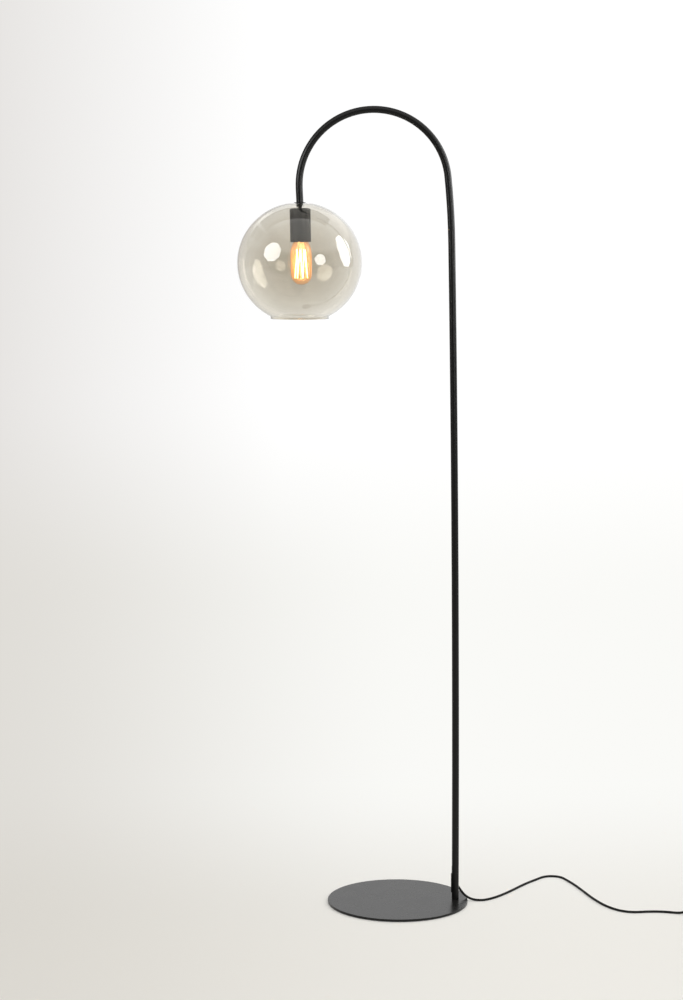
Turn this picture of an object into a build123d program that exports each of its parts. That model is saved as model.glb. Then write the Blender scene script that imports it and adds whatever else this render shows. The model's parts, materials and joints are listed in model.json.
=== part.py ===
from build123d import *

import os
from math import asin, atan2, cos, degrees, pi, radians, sin, sqrt, tan

# Arched floor lamp with a hanging glass globe. Millimetres, +Z up, the origin on the floor
# under the centre of the round base, the pole toward +X and the globe toward -X.

# ---- Base -------------------------------------------------------------------------------
BASE_DIAMETER = 300.0
PLATE_THICKNESS = 5.0
PLATE_CHAMFER = 0.5
FELT_DIAMETER = 290.0
FELT_THICKNESS = 1.2
PLATE_TOP = FELT_THICKNESS + PLATE_THICKNESS

# ---- Pole and arch ----------------------------------------------------------------------
TUBE_DIAMETER = 15.0
TUBE_BORE = 12.6
POLE_X = 123.7
LEAN_RADIUS = 72800.0  # the hanging globe bends the whole pole by about one degree
LEAN_TOP = 1408.7
EASE_RADIUS = 1676.0  # the bend runs out gently into the pole
EASE_TURN = radians(4.76)
ARCH_RADIUS = 155.8
LEG_TILT = radians(2.6)  # the free end of the arch, from the vertical
TUBE_END_Z = 1495.0
JOINT_HEIGHTS = (560.0, 1110.0)
SPIGOT_DIAMETER = 12.5
SPIGOT_LENGTH = 60.0
SPIGOT_BORE = 7.5

# ---- Head: what hangs from the arch's end, measured down from the tube's end --------------
HEAD_TILT = 1.2  # degrees
NIPPLE_DIAMETER = 8.0
NIPPLE_BORE = 6.0
WASHER_DIAMETER = 24.4
WASHER_THICKNESS = 1.2
GASKET_DIAMETER = 20.0
NUT_ACROSS_FLATS = 13.0

# ---- Globe --------------------------------------------------------------------------------
GLOBE_X = -208.2
GLOBE_Z = 1368.7
GLOBE_RADIUS = 130.8
GLOBE_HALF_HEIGHT = 126.6
GLASS = 2.2
GLOBE_HOLE = 13.0
GLOBE_SEAT_Z = 1492.6
MOUTH_RADIUS = 61.2
LIP_BOTTOM_Z = 1252.0

# ---- Lampholder and bulb --------------------------------------------------------------------
CUP_TOP = -12.4
CUP_BOTTOM = -82.6
CUP_RADIUS = 21.9
CUP_WALL = 1.0
THREAD_PITCH = 3.629
BULB_TIP = -50.0
BULB_END = -172.2
BULB_RADIUS = 22.3
BULB_GLASS = 0.8
LOOPS = 7

# ---- Supply cord ----------------------------------------------------------------------------
CORD = 5.2
FLOOR = CORD / 2  # height of the cord's middle where it lies on the floor
CORD_BORE = 5.5
NOZZLE_TIP = (127.3, 10.4, 35.2)
NOZZLE_BEND = (119.6, 11.3, 46.8)
NOZZLE_TOP = (119.4, 11.3, 57.5)

SWITCH_X = 676.0
SWITCH_Y = -92.0
SWITCH_LENGTH = 72.0
SWITCH_WIDTH = 36.0
SWITCH_CORNER = 13.0
SWITCH_HEIGHT = 19.0
SWITCH_PARTING = 7.5
SWITCH_WALL = 2.0
SCREW_PLACES = ((-26.0, 9.5), (26.0, -9.5))
SLEEVE_LENGTH = 20.0
BUTTON_RADIUS = 11.0
BUTTON_TRAVEL = 3.0
BUTTON_UNDERSIDE = 14.7
SPRING_RADIUS = 4.6
SPRING_WIRE = 0.9
SPRING_TURNS = 6
CONTACT_Y = -8.0

COIL_X = 772.0
COIL_MID_RADIUS = 28.6
COIL_PITCH = 7.0
COIL_RISE = 5.8
COIL_HALF_TURNS = 5  # in each of the two layers, on either side of the climb
COIL_LIFT = 0.9  # the tie's band passes under the turns
COIL_RADIUS = COIL_MID_RADIUS + COIL_HALF_TURNS * COIL_PITCH / 4
COIL_Y = SWITCH_Y + COIL_RADIUS
COIL_EXIT_Y = COIL_Y + COIL_RADIUS
COIL_LOW = FLOOR + COIL_LIFT
COIL_HIGH = COIL_LOW + COIL_RISE
TIE_THICKNESS = 0.8
TIE_WIDTH = 9.0

PLUG_X = 734.0
PLUG_WIDTH = 35.3
PLUG_HEIGHT = 13.7
PLUG_BODY = 35.0
PIN_DIAMETER = 4.0
PIN_LENGTH = 19.0
PIN_SPACING = 19.0

# Where the photograph shows the cord, the route follows it; past the switch it is put away.
CORD_ROUTE = [
    NOZZLE_TIP,
    (135.0, 9.5, 23.6),
    (144.0, 7.6, 12.6),
    (156.4, 4.9, 5.1),
    (170.0, 2.9, FLOOR),
    (186.5, 3.2, FLOOR),
    (202.5, 15.0, FLOOR),
    (220.0, 33.0, FLOOR),
    (239.5, 59.0, FLOOR),
    (257.0, 85.0, FLOOR),
    (274.5, 112.5, FLOOR),
    (292.0, 137.0, FLOOR),
    (309.5, 158.5, FLOOR),
    (327.0, 180.5, FLOOR),
    (342.0, 187.5, FLOOR),
    (358.0, 185.5, FLOOR),
    (370.3, 175.5, FLOOR),
    (380.0, 151.0, FLOOR),
    (389.5, 126.0, FLOOR),
    (398.0, 98.0, FLOOR),
    (406.5, 68.0, FLOOR),
    (415.5, 34.0, FLOOR),
    (425.5, 2.0, FLOOR),
    (437.0, -28.0, FLOOR),
    (452.0, -55.5, FLOOR),
    (471.5, -77.0, FLOOR),
    (496.0, -86.0, FLOOR),
    (521.5, -81.5, FLOOR),
    (548.0, -80.0, FLOOR),
    (570.0, -84.0, FLOOR),
    (586.0, -90.0, FLOOR),
    (598.0, SWITCH_Y, 3.6),
    (609.0, SWITCH_Y, SWITCH_PARTING),
    (SWITCH_X - SWITCH_LENGTH / 2 - SLEEVE_LENGTH, SWITCH_Y, SWITCH_PARTING),
]
LEAD_ROUTE = [
    (SWITCH_X + SWITCH_LENGTH / 2 + SLEEVE_LENGTH, SWITCH_Y, SWITCH_PARTING),
    (743.5, SWITCH_Y, SWITCH_PARTING),
    (755.5, SWITCH_Y, COIL_LOW),
    (COIL_X - CORD, SWITCH_Y, COIL_LOW),
]
TAIL_ROUTE = [
    (COIL_X - CORD, COIL_EXIT_Y, COIL_HIGH),
    (756.0, COIL_EXIT_Y, COIL_HIGH),
    (745.0, COIL_EXIT_Y, PLUG_HEIGHT / 2),
    (PLUG_X, COIL_EXIT_Y, PLUG_HEIGHT / 2),
]


# ---- Small helpers ----------------------------------------------------------------------------
def rod(radius, bottom, top, x=0.0, y=0.0):
    """An upright cylinder between two heights."""
    return Pos(x, y, (bottom + top) / 2) * Cylinder(radius, top - bottom)


def ring(outer, inner, bottom, top, x=0.0, y=0.0):
    """An upright tube between two heights, from its two radii."""
    return rod(outer, bottom, top, x, y) - rod(inner, bottom - 1, top + 1, x, y)


def block(x_range, y_range, z_range):
    """A box between two planes along each axis."""
    sizes = [high - low for low, high in (x_range, y_range, z_range)]
    middle = [(low + high) / 2 for low, high in (x_range, y_range, z_range)]
    return Pos(*middle) * Box(*sizes)


def hexagon(across_flats, bottom, top):
    """An upright hexagonal prism."""
    flat = RegularPolygon(across_flats / 2, 6, major_radius=False)
    return Pos(0, 0, bottom) * extrude(flat, top - bottom)


def revolved(*edges):
    """A solid turned about Z from the closed outline that the edges make in the XZ plane."""
    return revolve(make_face([Plane.XZ * edge for edge in edges]), Axis.Z)


def outline(*points):
    """A solid turned about Z from straight edges through (radius, height) points."""
    return revolved(Polyline(*points, close=True))


def swept(path, radius, bore=0.0):
    """A round rod, or a tube, along a path."""
    section = Circle(radius)
    if bore:
        section -= Circle(bore)
    return sweep(Plane(origin=path @ 0, z_dir=path % 0) * section, path=path)


def group(*pieces):
    """Separate equal pieces that share one node."""
    return Compound(children=[solid for piece in pieces for solid in piece.solids()])


def frustum(start, end, start_radius, end_radius):
    """A tapered rod between two points."""
    way = Vector(*end) - Vector(*start)
    plane = Plane(origin=start, z_dir=way)
    if abs(start_radius - end_radius) < 1e-9:
        body = Cylinder(start_radius, way.length, align=(Align.CENTER, Align.CENTER, Align.MIN))
    else:
        body = Cone(start_radius, end_radius, way.length, align=(Align.CENTER, Align.CENTER, Align.MIN))
    return plane * body


def bend_radii(points):
    """The arc at each corner of a route: 0.45 of the shorter run, over the tangent of half the turn."""
    places = [Vector(*point) for point in points]
    runs = [b - a for a, b in zip(places, places[1:])]
    return [
        0.45 * min(before.length, after.length) / tan(radians(before.get_angle(after)) / 2)
        for before, after in zip(runs, runs[1:])
    ]


def rounded_route(points):
    """A route as straight runs joined by tangent arcs."""
    return FilletPolyline(*points, radius=bend_radii(points))


def report_sweep(name, solid, length, radius, note):
    """Prints a swept piece's length and its volume against its section times that length."""
    share = solid.volume / (pi * radius**2 * length)
    print(f"{name}: length {length:.1f}, volume / (section x length) {share:.4f}, {note}")


def laid_cord(name, points):
    """A stretch of the cord along a route."""
    path = rounded_route(points)
    solid = swept(path, CORD / 2)
    report_sweep(name, solid, path.length, CORD / 2, f"radii {[round(r) for r in bend_radii(points)]}")
    return solid


def biarc(start, start_way, end, end_way):
    """Two arcs that leave one point and reach another in given directions."""
    across = end - start
    both = start_way + end_way
    spread = 2 * (1 - start_way.dot(end_way))
    along = across.dot(both)
    reach = (sqrt(along**2 + spread * across.dot(across)) - along) / spread
    middle = (start + start_way * reach + end - end_way * reach) * 0.5
    first = TangentArc(start, middle, tangent=start_way)
    return [first, TangentArc(middle, end, tangent=first % 1)]


def least_gap(path, thickness, step=1.5):
    """The smallest gap between a wound tube's turns, measured on points along its middle line."""
    count = int(path.length / step)
    places = [path @ (k / count) for k in range(count + 1)]
    apart = int(3 * thickness / step) + 1
    return min(
        (places[i] - places[j]).length - thickness
        for i in range(count + 1)
        for j in range(i + apart, count + 1)
    )


class Course:
    """The tubes' middle line: arcs in the XZ plane that turn toward -X, one after another."""

    def __init__(self):
        self.x = POLE_X
        self.z = PLATE_TOP
        self.heading = pi / 2

    def arc(self, radius, turn):
        """The next arc, with its turn in radians."""
        centre_x = self.x - radius * sin(self.heading)
        centre_z = self.z + radius * cos(self.heading)
        places = [
            (centre_x + radius * sin(angle), 0, centre_z - radius * cos(angle))
            for angle in (self.heading, self.heading + turn / 2, self.heading + turn)
        ]
        self.heading += turn
        self.x, _, self.z = places[-1]
        return ThreePointArc(*places)

    def lean_to(self, height):
        """The slightly bent pole, up to a height."""
        turn = asin((height - PLATE_TOP) / LEAN_RADIUS) - (self.heading - pi / 2)
        return self.arc(LEAN_RADIUS, turn)

    def over_the_arch(self):
        """The rest of the pole, its ease into the bend, and the bend down to the free end's leg."""
        first = [self.lean_to(LEAN_TOP), self.arc(EASE_RADIUS, EASE_TURN)]
        return first + [self.arc(ARCH_RADIUS, 3 * pi / 2 + LEG_TILT - self.heading)]

    def way(self):
        return Vector(cos(self.heading), 0, sin(self.heading))

    def plane(self):
        """The plane across the tube where the course has got to."""
        return Plane(origin=(self.x, 0, self.z), z_dir=self.way())


course = Course()
LOWER_LINE = course.lean_to(JOINT_HEIGHTS[0])
LOWER_JOINT = course.plane()
MIDDLE_LINE = course.lean_to(JOINT_HEIGHTS[1])
UPPER_JOINT = course.plane()
ARCH_LINE = course.over_the_arch()
ARCH_FOOT = Vector(course.x, 0, course.z)
TUBE_END = ARCH_FOOT + course.way() * ((course.z - TUBE_END_Z) / cos(LEG_TILT))
HEAD = Pos(TUBE_END) * Rot(0, -HEAD_TILT, 0)
LEG = Pos(TUBE_END) * Rot(0, -degrees(LEG_TILT), 0)
GLOBE = Pos(GLOBE_X, 0, GLOBE_Z)


def head_point(z, x=0.0):
    """A point given in the hanging head's own axes, in the lamp's."""
    return (HEAD * Pos(x, 0, z)).position


# ---- Base and pole ----------------------------------------------------------------------------
def base_felt():
    return rod(FELT_DIAMETER / 2, 0, FELT_THICKNESS)


def base_plate():
    plate = rod(BASE_DIAMETER / 2, FELT_THICKNESS, PLATE_TOP)
    plate = chamfer(plate.edges().filter_by(GeomType.CIRCLE), PLATE_CHAMFER)
    hole = outline((0, FELT_THICKNESS), (8.0, FELT_THICKNESS), (4.2, 5.0), (4.2, PLATE_TOP), (0, PLATE_TOP))
    return plate - Pos(POLE_X, 0, 0) * hole


def base_screw():
    screw = outline((0, 1.3), (7.8, 1.3), (3.95, 5.15), (3.95, 21.0), (0, 21.0))
    return Pos(POLE_X, 0, 0) * (screw - hexagon(5.0, 1.2, 3.8))


def pole_foot():
    return ring(SPIGOT_DIAMETER / 2, 4.0, PLATE_TOP, 31.0, POLE_X) - outlet_screw_hole(1.3)


def pole_lower():
    tube = swept(LOWER_LINE, TUBE_DIAMETER / 2, TUBE_BORE / 2)
    slot = rod(3.4, 0, 20) + Pos(0, 12, 0) * rod(3.4, 0, 20) + block((-3.4, 3.4), (0, 12), (0, 20))
    slot = Pos(POLE_X - 1.6, 0, 68) * Rot(-90, 0, 0) * slot
    return tube - slot - outlet_screw_hole(1.3)


def pole_middle():
    return swept(MIDDLE_LINE, TUBE_DIAMETER / 2, TUBE_BORE / 2)


def spigot(joint):
    """A hollow coupling inside two lengths of tube, half in each."""
    body = ring(SPIGOT_DIAMETER / 2, SPIGOT_BORE / 2, -SPIGOT_LENGTH / 2, SPIGOT_LENGTH / 2)
    return joint * chamfer(body.edges().filter_by(GeomType.CIRCLE), 0.6)


def pole_joint_lower():
    return spigot(LOWER_JOINT)


def pole_joint_upper():
    return spigot(UPPER_JOINT)


def arch_tube():
    over = 2.0  # past the end, then cut level for the washer
    leg = Line(ARCH_FOOT, TUBE_END + (TUBE_END - ARCH_FOOT).normalized() * over)
    tube = swept(Wire(ARCH_LINE + [leg]), TUBE_DIAMETER / 2, TUBE_BORE / 2)
    return tube - Pos(TUBE_END.X, 0, TUBE_END_Z - 5) * Box(40, 40, 10)


def arch_insert():
    outer = LEG * rod(SPIGOT_DIAMETER / 2, 0.5, 22)
    thread = HEAD * rod(NIPPLE_DIAMETER / 2 + 0.05, -5, 14)
    return outer - thread - LEG * rod(SPIGOT_BORE / 2, 13, 30)


# ---- Cord outlet ------------------------------------------------------------------------------
def outlet_screw_hole(radius):
    """The hole for the outlet's screw, through the back of the saddle and the tube's wall."""
    return Pos(POLE_X, 9, 27) * Rot(90, 0, 0) * Cylinder(radius, 12)


def lead_start():
    """The lead's way from the nozzle's tip through the outlet and the slot, up to the pole's middle."""
    inside = Course()
    inside.lean_to(104.0)
    top = Vector(inside.x, 0, inside.z)
    slot = (123.0, 3.0, 69.0)
    return [NOZZLE_TIP, NOZZLE_BEND, NOZZLE_TOP, slot, tuple(top - inside.way() * 18), tuple(top)]


def cord_outlet():
    reach = [(30 * cos(radians(a)), 30 * sin(radians(a))) for a in (38, 90, 145, 200)]
    wedge = make_face(Polyline((0, 0), *reach, close=True))
    saddle = Pos(POLE_X, 0, 21.4) * extrude((Circle(9.4) - Circle(7.55)) & wedge, 40.3)
    back = block((POLE_X - 7.4, POLE_X + 6.2), (5.5, 15.6), (31, 74))
    back = fillet(back.edges().filter_by(Axis.Z).group_by(Axis.Y)[-1], 3.0)
    nozzle = frustum(NOZZLE_TOP, NOZZLE_BEND, 4.5, 4.2) + Pos(*NOZZLE_BEND) * Sphere(4.2)
    nozzle += frustum(NOZZLE_BEND, NOZZLE_TIP, 4.2, 3.4)
    body = saddle + (back + nozzle - rod(7.55, 10, 90, POLE_X))
    body -= swept(rounded_route(lead_start()), CORD_BORE / 2)
    return body - frustum(NOZZLE_TIP, CORD_ROUTE[1], CORD_BORE / 2, CORD_BORE / 2) - outlet_screw_hole(1.6)


def outlet_screw():
    head = fillet(rod(2.9, 0, 1.9).edges().group_by(Axis.Z)[-1], 0.9)
    cross = Pos(0, 0, 1.6) * (Box(0.8, 3.6, 1.2) + Box(3.6, 0.8, 1.2))
    return Pos(POLE_X, 9.4, 27) * Rot(-90, 0, 0) * (head + rod(1.25, -5.0, 0) - cross)


def inner_lead():
    start = lead_start()
    line = Course()
    line.lean_to(104.0)
    arch = line.over_the_arch()
    head = FilletPolyline(ARCH_FOOT, TUBE_END, head_point(-25), radius=400)
    path = Wire(rounded_route(start).edges() + arch + head.edges())
    solid = swept(path, CORD / 2)
    radii = [round(radius) for radius in bend_radii(start)]
    report_sweep("inner_lead", solid, path.length, CORD / 2, f"radii {radii}")
    return solid


# ---- Globe and its clamp ----------------------------------------------------------------------
def threaded_nipple():
    return HEAD * ring(NIPPLE_DIAMETER / 2, NIPPLE_BORE / 2, -24.0, 12.0)


def top_washer():
    top = TUBE_END_Z
    washer = ring(WASHER_DIAMETER / 2, 4.4, top - WASHER_THICKNESS, top, TUBE_END.X)
    upper_edges = washer.edges().filter_by(GeomType.CIRCLE).group_by(Axis.Z)[-1]
    return fillet(upper_edges.sort_by(SortBy.RADIUS)[-1], 0.4)


def upper_gasket():
    return ring(GASKET_DIAMETER / 2, 4.6, GLOBE_SEAT_Z, TUBE_END_Z - WASHER_THICKNESS, TUBE_END.X)


def globe_height(radius, thinner=0.0):
    """How far above or below its middle the globe's surface is, at a distance from its axis."""
    return (GLOBE_HALF_HEIGHT - thinner) * sqrt(1 - (radius / (GLOBE_RADIUS - thinner)) ** 2)


def globe_arc(thinner, start_radius, end_radius):
    """Part of the globe's outline, from a radius near its top to one near its mouth."""
    wide, high = GLOBE_RADIUS - thinner, GLOBE_HALF_HEIGHT - thinner
    start = degrees(atan2(globe_height(start_radius, thinner) / high, start_radius / wide))
    end = degrees(atan2(-globe_height(end_radius, thinner) / high, end_radius / wide))
    return EllipticalCenterArc((0, 0), wide, high, start_angle=end, arc_size=start - end)


def glass_globe():
    seat = GLOBE_SEAT_Z - GLOBE_Z
    flat = GLOBE_RADIUS * sqrt(1 - (seat / GLOBE_HALF_HEIGHT) ** 2)
    under = seat - GLASS
    flat_inside = (GLOBE_RADIUS - GLASS) * sqrt(1 - (under / (GLOBE_HALF_HEIGHT - GLASS)) ** 2)
    mouth = MOUTH_RADIUS
    mouth_inside = MOUTH_RADIUS - GLASS
    lip = LIP_BOTTOM_Z - GLOBE_Z
    hole = GLOBE_HOLE / 2
    body = revolved(
        Polyline((flat_inside, under), (hole, under), (hole, seat), (flat, seat)),
        globe_arc(0.0, flat, mouth),
        Polyline(
            (mouth, -globe_height(mouth)), (mouth, lip), (mouth_inside, lip),
            (mouth_inside, -globe_height(mouth_inside, GLASS)),
        ),
        globe_arc(GLASS, flat_inside, mouth_inside),
    )
    rim = body.edges().filter_by(GeomType.CIRCLE).group_by(Axis.Z)[0]
    return GLOBE * fillet(rim, 0.9)


def lower_gasket():
    top = GLOBE_SEAT_Z - GLASS
    return ring(GASKET_DIAMETER / 2 - 1, 4.6, top - 0.8, top, TUBE_END.X)


def clamp_nut():
    nut = hexagon(NUT_ACROSS_FLATS, -9.1, -5.6) - rod(NIPPLE_DIAMETER / 2 + 0.05, -12, 0)
    return HEAD * nut


# ---- Lampholder -------------------------------------------------------------------------------
def holder_cup():
    cup = fillet(rod(CUP_RADIUS, CUP_BOTTOM, CUP_TOP).edges().group_by(Axis.Z)[-1], 3.5)
    hollow = rod(CUP_RADIUS - CUP_WALL, CUP_BOTTOM - 1, CUP_TOP - CUP_WALL)
    hollow = fillet(hollow.edges().group_by(Axis.Z)[-1], 2.5)
    return HEAD * (cup - hollow - rod(NIPPLE_DIAMETER / 2 + 0.2, CUP_TOP - 5, CUP_TOP + 5))


def holder_nuts():
    bore = rod(NIPPLE_DIAMETER / 2 + 0.05, -30, 0)
    nuts = [hexagon(NUT_ACROSS_FLATS, top - 4.0, top) - bore for top in (-13.4, -18.4)]
    return HEAD * group(*nuts)


def holder_bracket():
    bridge = block((-19.3, 19.3), (-5, 5), (-18.4, -17.4))
    legs = [block((low, low + 1.0), (-5, 5), (-50, -17.4)) for low in (-19.3, 18.3)]
    body = bridge + legs[0] + legs[1] - rod(NIPPLE_DIAMETER / 2 + 0.2, -20, -16)
    return HEAD * (body - Pos(0, 0, -45) * Rot(0, 90, 0) * Cylinder(1.6, 60))


def bracket_screws():
    screw = rod(2.6, 19.3, 20.3) + rod(1.45, 12.5, 19.3)
    screw -= block((-2, 2), (-0.35, 0.35), (19.9, 21))
    pair = [Pos(0, 0, -45) * Rot(0, turn, 0) * screw for turn in (90, -90)]
    return HEAD * group(*pair)


def holder_body():
    body = rod(18.0, -78.8, -34.0) + rod(20.6, -78.8, -75.6)
    body -= rod(14.3, -80, -50.5) + rod(10.5, -51, -46.0) + rod(1.9, -50, -30)
    body -= block((10.2, 12.6), (-2.3, 2.3), (-52, -30))
    for x in (-11.0, 14.0):
        body -= rod(1.5, -42, -30, x)
    return HEAD * (body - Pos(0, 0, -45) * Rot(0, 90, 0) * (rod(1.5, -20, -12) + rod(1.5, 12, 20)))


def screw_shell():
    shell = ring(14.1, 13.6, -73.0, -51.0) + ring(14.1, 11.2, -51.6, -51.0)
    tab = block((11.0, 11.6), (-2.0, 2.0), (-51.2, -33.4))
    tab += block((11.0, 17.0), (-2.0, 2.0), (-34.0, -33.4))
    return HEAD * (shell + tab - rod(1.3, -36, -32, 14.0))


def centre_contact():
    strip = block((-14.0, 0.0), (-2.0, 2.0), (-34.0, -33.4)) + rod(3.0, -34.0, -33.0)
    rivet = rod(1.8, -47.0, -34.0) + rod(3.4, -47.2, -46.4)
    leaf = block((-7.5, 7.5), (-2.5, 2.5), (-47.8, -47.2)) + rod(2.2, -49.6, -47.8)
    return HEAD * (strip + rivet + leaf - rod(1.3, -36, -32, -11.0))


def terminal_screws():
    screw = rod(2.4, -33.4, -31.8) + rod(1.25, -40, -33.4) - block((-3, 3), (-0.35, 0.35), (-32.3, -31))
    return HEAD * group(Pos(-11.0, 0, 0) * screw, Pos(14.0, 0, 0) * screw)


def core(points, thickness=2.1):
    """One insulated core of the lead, in the head's axes."""
    return HEAD * swept(rounded_route(points), thickness / 2)


def core_line():
    return core([(1.3, 0, -25.0), (1.3, 0, -28.5), (4.3, 0, -31.4), (8.0, 0, -32.2), (11.6, 0, -32.4)])


def core_neutral():
    return core([(-1.3, 0, -25.0), (-1.3, 0, -28.5), (-3.4, 0, -31.2), (-6.0, 0, -32.2), (-8.6, 0, -32.4)])


def holder_ring():
    return HEAD * ring(20.8, 17.4, CUP_BOTTOM + 0.3, -78.9)


# ---- Bulb -------------------------------------------------------------------------------------
def bulb_cap():
    """The threaded shell, with its thread as rounded rings at the thread's pitch."""
    crest, middle, root = 13.05, 12.58, 12.1
    top = -56.0
    edges = []
    for k in range(5):
        z = top - k * THREAD_PITCH
        half, quarter = THREAD_PITCH / 2, THREAD_PITCH / 4
        edges.append(ThreePointArc((middle, z), (crest, z - quarter), (middle, z - half)))
        edges.append(ThreePointArc((middle, z - half), (root, z - 3 * quarter), (middle, z - THREAD_PITCH)))
    end = top - 5 * THREAD_PITCH
    edges.append(Polyline((middle, end), (13.1, end - 0.8), (13.1, -77.4), (12.55, -77.4), (12.55, end)))
    edges.append(Polyline((12.55, end), (11.6, end + 0.6), (11.6, top), (middle, top)))
    return HEAD * revolved(*edges)


def bulb_insulator():
    return HEAD * outline((0, -52.0), (5.2, -52.0), (11.5, -55.6), (11.5, -58.0), (0, -58.0))


def bulb_contact():
    button = fillet(rod(4.6, -52.0, BULB_TIP).edges().group_by(Axis.Z)[-1], 1.2)
    return HEAD * button


def bulb_wall(inset):
    """The glass's outline from the neck down to its end, moved in by a distance."""
    wide = BULB_RADIUS - inset
    straight_end = BULB_END + BULB_RADIUS
    neck = (12.4 - inset, -77.8)
    shoulder = Spline(
        neck, (15.4 - inset, -83.4), (20.5 - inset, -94.5), (wide, -109.0),
        tangents=[(0.25, -1.0), (0, -1.0)],
    )
    end = BULB_END + inset
    half = (wide * sin(pi / 4), straight_end - (straight_end - end) * cos(pi / 4))
    return [
        Polyline((11.4 - inset, -66.0), (11.4 - inset, -73.0), neck),
        shoulder,
        Line((wide, -109.0), (wide, straight_end)),
        ThreePointArc((wide, straight_end), half, (0, end)),
    ]


def bulb_glass():
    outer, inner = bulb_wall(0.0), bulb_wall(BULB_GLASS)
    rim = [Line((11.4, -66.0), (11.4 - BULB_GLASS, -66.0)), Line((0, BULB_END), (0, BULB_END + BULB_GLASS))]
    return HEAD * revolved(*outer, *inner, *rim)


def bulb_stem():
    """The glass foot, rod and buttons that carry the filament."""
    foot = outline((0, -70.0), (10.2, -70.0), (9.2, -73.0), (4.2, -82.0), (3.0, -92.0), (0, -92.0))
    rods = rod(2.2, -98.0, -91.0) + Pos(0, 0, -98) * Sphere(3.0) + rod(1.4, -158.0, -98.0)
    return HEAD * (foot + rods + Pos(0, 0, -158) * Sphere(2.6))


def loop_point(k, radius, z, offset):
    """A hook's place on one of the two crowns of hooks."""
    angle = 2 * pi * (k + offset) / LOOPS
    return Vector(radius * cos(angle), radius * sin(angle), z)


def bulb_supports():
    """The spokes that carry the filament's loops, and the two lead-in wires."""
    wires = []
    for crown_z, crown_radius, inner, offset in ((-98.0, 9.0, 3.0, 0.0), (-158.0, 14.0, 2.6, 0.5)):
        for k in range(LOOPS):
            start = loop_point(k, inner, crown_z, offset)
            end = loop_point(k, crown_radius - 0.4, crown_z, offset)
            wires.append(frustum(tuple(start), tuple(end), 0.3, 0.3))
    for side in (-1, 1):
        wires.append(frustum((side * 5.0, 0, -69.8), (side * 5.0, 0, -58.2), 0.3, 0.3))
    return HEAD * group(*wires)


def bulb_filament():
    """One wire that runs up and down between the crowns of hooks."""
    stops = []
    for k in range(LOOPS):
        stops.append(loop_point(k, 9.0, -98.0, 0.0))
        stops.append(loop_point(k, 14.0, -158.0, 0.5))
    wire = None
    for start, end in zip(stops, stops[1:]):
        piece = frustum(tuple(start), tuple(end), 0.35, 0.35) + Pos(end) * Sphere(0.36)
        wire = piece if wire is None else wire + piece
    return HEAD * wire


# ---- Foot switch ------------------------------------------------------------------------------
AT_SWITCH = Pos(SWITCH_X, SWITCH_Y, 0)


def switch_slab(bottom, top, inset=0.0):
    """The switch's rounded outline between two heights."""
    flat = RectangleRounded(SWITCH_LENGTH - 2 * inset, SWITCH_WIDTH - 2 * inset, SWITCH_CORNER - inset)
    return Pos(0, 0, bottom) * extrude(flat, top - bottom)


def cord_ways():
    """The holes for the sleeves, through both end walls."""
    return Pos(0, 0, SWITCH_PARTING) * Rot(0, 90, 0) * Cylinder(4.0, SWITCH_LENGTH + 10)


def switch_base():
    tray = chamfer(switch_slab(0, SWITCH_PARTING).faces().sort_by(Axis.Z)[0].edges(), 1.0)
    tray -= switch_slab(SWITCH_WALL, SWITCH_PARTING + 1, SWITCH_WALL) + cord_ways()
    tray += rod(3.4, SWITCH_WALL, 5.0)
    for x, y in SCREW_PLACES:
        tray += rod(3.2, SWITCH_WALL, SWITCH_PARTING, x, y)
        hole = outline((0, -1), (2.7, -1), (2.7, 0.3), (1.2, 2.0), (1.2, 9), (0, 9))
        tray -= Pos(x, y, 0) * hole
    return AT_SWITCH * tray


def switch_cover():
    lid = fillet(switch_slab(SWITCH_PARTING, SWITCH_HEIGHT).faces().sort_by(Axis.Z)[-1].edges(), 4.5)
    lid -= switch_slab(SWITCH_PARTING - 1, SWITCH_HEIGHT - 2 * SWITCH_WALL, SWITCH_WALL) + cord_ways()
    lid -= rod(13.2, SWITCH_PARTING, SWITCH_HEIGHT - SWITCH_WALL) + rod(BUTTON_RADIUS + 0.4, 0, 30)
    for x, y in SCREW_PLACES:
        lid += rod(3.2, SWITCH_PARTING, SWITCH_HEIGHT - 2 * SWITCH_WALL, x, y)
        lid -= rod(1.1, SWITCH_PARTING - 1, 14.0, x, y)
    return AT_SWITCH * lid


def switch_button():
    cap = fillet(rod(BUTTON_RADIUS, BUTTON_UNDERSIDE, 23.0).edges().group_by(Axis.Z)[-1], 2.5)
    flange = rod(12.4, BUTTON_UNDERSIDE, BUTTON_UNDERSIDE + 2.0)
    leg = rod(1.2, 9.9, BUTTON_UNDERSIDE, 0, CONTACT_Y)
    return AT_SWITCH * (cap + flange + rod(3.4, 11.7, BUTTON_UNDERSIDE) + leg)


def switch_bridge():
    return AT_SWITCH * block((-12, 12), (CONTACT_Y - 2, CONTACT_Y + 2), (9.3, 9.9))


def switch_contacts():
    pair = [block((x - 2, x + 2), (CONTACT_Y - 2, CONTACT_Y + 2), (SWITCH_WALL, 6.2)) for x in (-9.0, 9.0)]
    return AT_SWITCH * group(*pair)


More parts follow.
